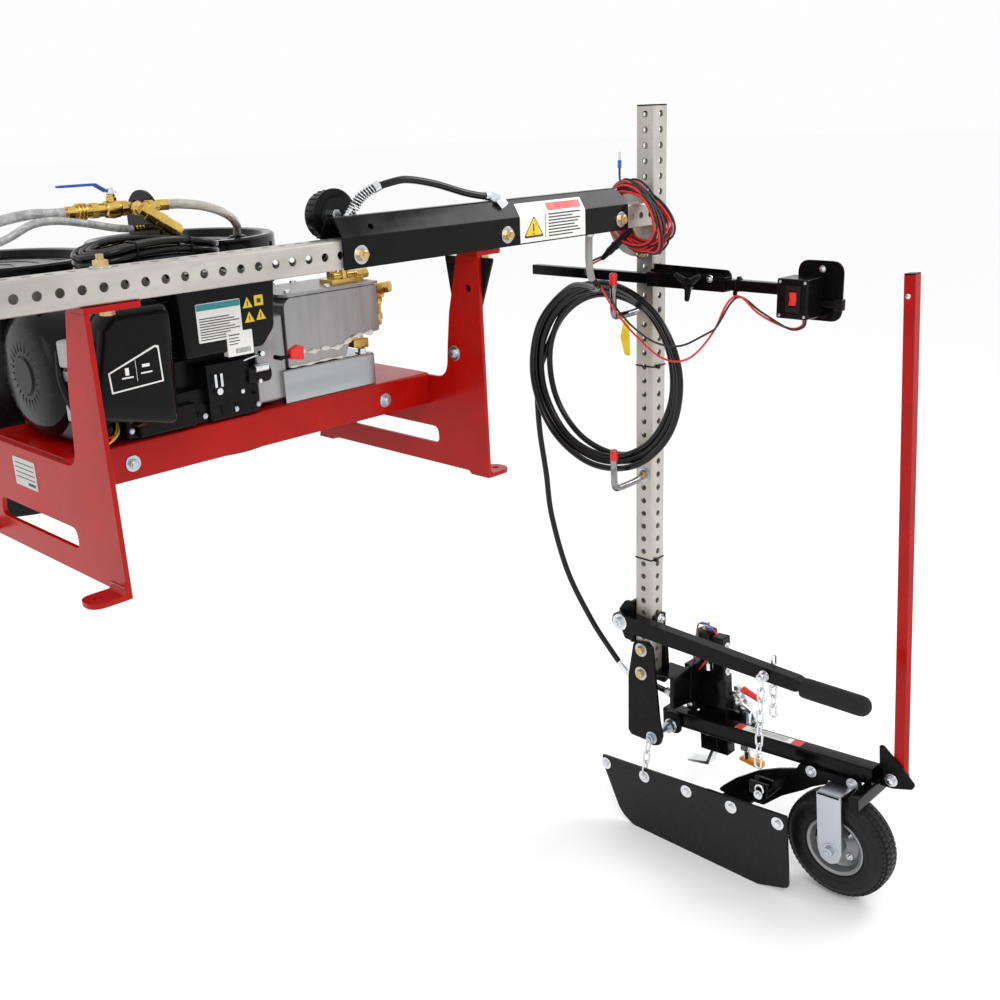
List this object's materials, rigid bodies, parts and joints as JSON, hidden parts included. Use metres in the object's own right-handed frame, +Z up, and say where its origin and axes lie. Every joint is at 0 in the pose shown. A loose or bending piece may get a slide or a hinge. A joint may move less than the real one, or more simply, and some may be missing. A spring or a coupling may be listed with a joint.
{
  "type": "line_striping_machine",
  "caption": "Truck-mounted road line striping machine: engine and paint pump on a red plate skid, perforated boom, hanging mast with a wheeled spray carriage",
  "frame": {"origin": "Centre of the four feet on the truck bed", "axes": "X along the boom towards the mast, Y across the skid away from the spray wheel, Z up"},
  "size_m": [1.3462, 1.1923, 1.4122],
  "materials": {
    "aluminium": "satin",
    "black_paint": "gloss",
    "black_plastic": "gloss",
    "black_rubber": "matte",
    "blue_vinyl": "matte",
    "brass": "satin",
    "clear_hose": "gloss",
    "galvanised": "satin",
    "red_paint": "gloss",
    "red_plastic": "gloss",
    "red_wire": "matte",
    "zinc": "satin"
  },
  "bodies": {
    "skid": {"end_frame_left": "red_paint", "end_frame_right": "red_paint", "deck_tray": "red_paint", "boom_tube": "galvanised", "arm_tube": "galvanised", "arm_sleeve": "black_paint", "pivot_disc": "galvanised", "engine_block": "black_paint", "recoil_housing": "black_plastic", "air_cleaner_cover": "black_plastic", "fuel_tank": "black_plastic", "bell_housing": "aluminium", "pump_base_rail": "aluminium", "pump_body": "aluminium", "pump_outlet_manifold": "brass", "paint_pail_right": "black_plastic", "paint_pail_left": "black_plastic", "valve_post": "black_paint", "valve_body": "brass", "pressure_gauge": "black_plastic", "jumper_hose": "black_rubber", "clear_hose_right": "clear_hose", "clear_hose_left": "clear_hose", "clear_hose_low": "clear_hose", "spare_hose_hank": "black_rubber", "wire_hank": "red_wire"},
    "mast": {"mast_tube": "galvanised", "pivot_bolt": "brass", "hose_hook_upper": "zinc", "hose_hook_lower": "zinc", "switch_bracket": "black_paint", "hanger_plate_near": "black_paint", "hanger_plate_far": "black_paint", "lever_bracket": "black_paint", "hose_coil": "black_rubber", "hose_drop": "black_rubber"},
    "switch_arm": {"switch_arm_tube": "black_paint", "switch_box": "black_plastic", "wire_lead": "red_wire"},
    "switch_rocker": {"rocker_switch": "red_plastic"},
    "arm_knob": {"arm_clamp_knob": "black_plastic"},
    "lever": {"lift_lever": "black_paint", "lever_grip": "black_rubber"},
    "chain": {"lift_chain": "zinc"},
    "carriage": {"carriage_beam": "black_paint", "fender_arm": "black_paint", "splash_flap": "black_rubber", "wheel_fork": "zinc", "pointer_bracket": "black_paint", "gun_column": "black_paint", "valve_solenoid": "black_plastic", "spray_gun": "zinc"},
    "wheel": {"wheel_rim": "galvanised", "tyre": "black_rubber"},
    "pointer": {"pointer_rod": "red_paint"},
    "gun_handle": {"gun_clamp_handle": "red_plastic"},
    "recirculation_lever": {"valve_handle": "blue_vinyl"},
    "starter": {"starter_grip": "black_plastic"},
    "choke": {"choke_lever": "red_plastic"},
    "drive": {"drive_coupling": "galvanised"}
  },
  "joints": [
    {"name": "mast_swing", "type": "hinge", "parent": "skid", "child": "mast", "pos_m": [0.7747, -0.15748, 0.34163], "axis": [1, 0, 0], "range_deg": [0, 90]},
    {"name": "switch_arm_slide", "type": "slide", "parent": "mast", "child": "switch_arm", "axis": [0, -1, 0], "range_m": [0, 0.12]},
    {"name": "rocker_tilt", "type": "hinge", "parent": "switch_arm", "child": "switch_rocker", "pos_m": [0.71882, -0.47625, 0.23876], "axis": [0, 1, 0], "range_deg": [-6, 6]},
    {"name": "arm_knob_turn", "type": "hinge", "parent": "mast", "child": "arm_knob", "pos_m": [0.71958, -0.28067, 0.24943], "axis": [1, 0, 0], "range_deg": [-180, 180]},
    {"name": "lever_lift", "type": "hinge", "parent": "mast", "child": "lever", "pos_m": [0.72593, -0.12344, -0.41377], "axis": [1, 0, 0], "range_deg": [-25, 8]},
    {"name": "chain_swing", "type": "hinge", "parent": "lever", "child": "chain", "pos_m": [0.71831, -0.44425, -0.42418], "axis": [1, 0, 0], "range_deg": [-8, 25]},
    {"name": "carriage_lift", "type": "hinge", "parent": "mast", "child": "carriage", "pos_m": [0.81915, -0.18491, -0.65405], "axis": [1, 0, 0], "range_deg": [-35, 12]},
    {"name": "wheel_spin", "type": "hinge", "parent": "carriage", "child": "wheel", "pos_m": [0.80899, -0.56654, -0.75064], "axis": [1, 0, 0], "continuous": true},
    {"name": "pointer_fold", "type": "hinge", "parent": "carriage", "child": "pointer", "pos_m": [0.85725, -0.6474, -0.60619], "axis": [1, 0, 0], "range_deg": [0, 75]},
    {"name": "gun_handle_turn", "type": "hinge", "parent": "carriage", "child": "gun_handle", "pos_m": [0.88265, -0.29248, -0.56405], "axis": [1, 0, 0], "range_deg": [-30, 0]},
    {"name": "valve_handle_turn", "type": "hinge", "parent": "skid", "child": "recirculation_lever", "pos_m": [-0.09271, 0.10287, 0.44577], "axis": [0, 0, 1], "range_deg": [0, 90]},
    {"name": "starter_pull", "type": "slide", "parent": "skid", "child": "starter", "axis": [0, 0, 1], "range_m": [0, 0.25], "stiffness_N_per_m": 20},
    {"name": "choke_slide", "type": "hinge", "parent": "skid", "child": "choke", "pos_m": [0.00889, -0.10541, 0.22352], "axis": [0, 1, 0], "range_deg": [-35, 0]},
    {"name": "drive_turn", "type": "hinge", "parent": "skid", "child": "drive", "pos_m": [0.01905, -0.02159, 0.22225], "axis": [1, 0, 0], "continuous": true}
  ],
  "couplings": [
    {"joint": "carriage_lift", "follows": "lever_lift", "ratio": 1.22},
    {"joint": "chain_swing", "follows": "lever_lift", "ratio": -1}
  ]
}
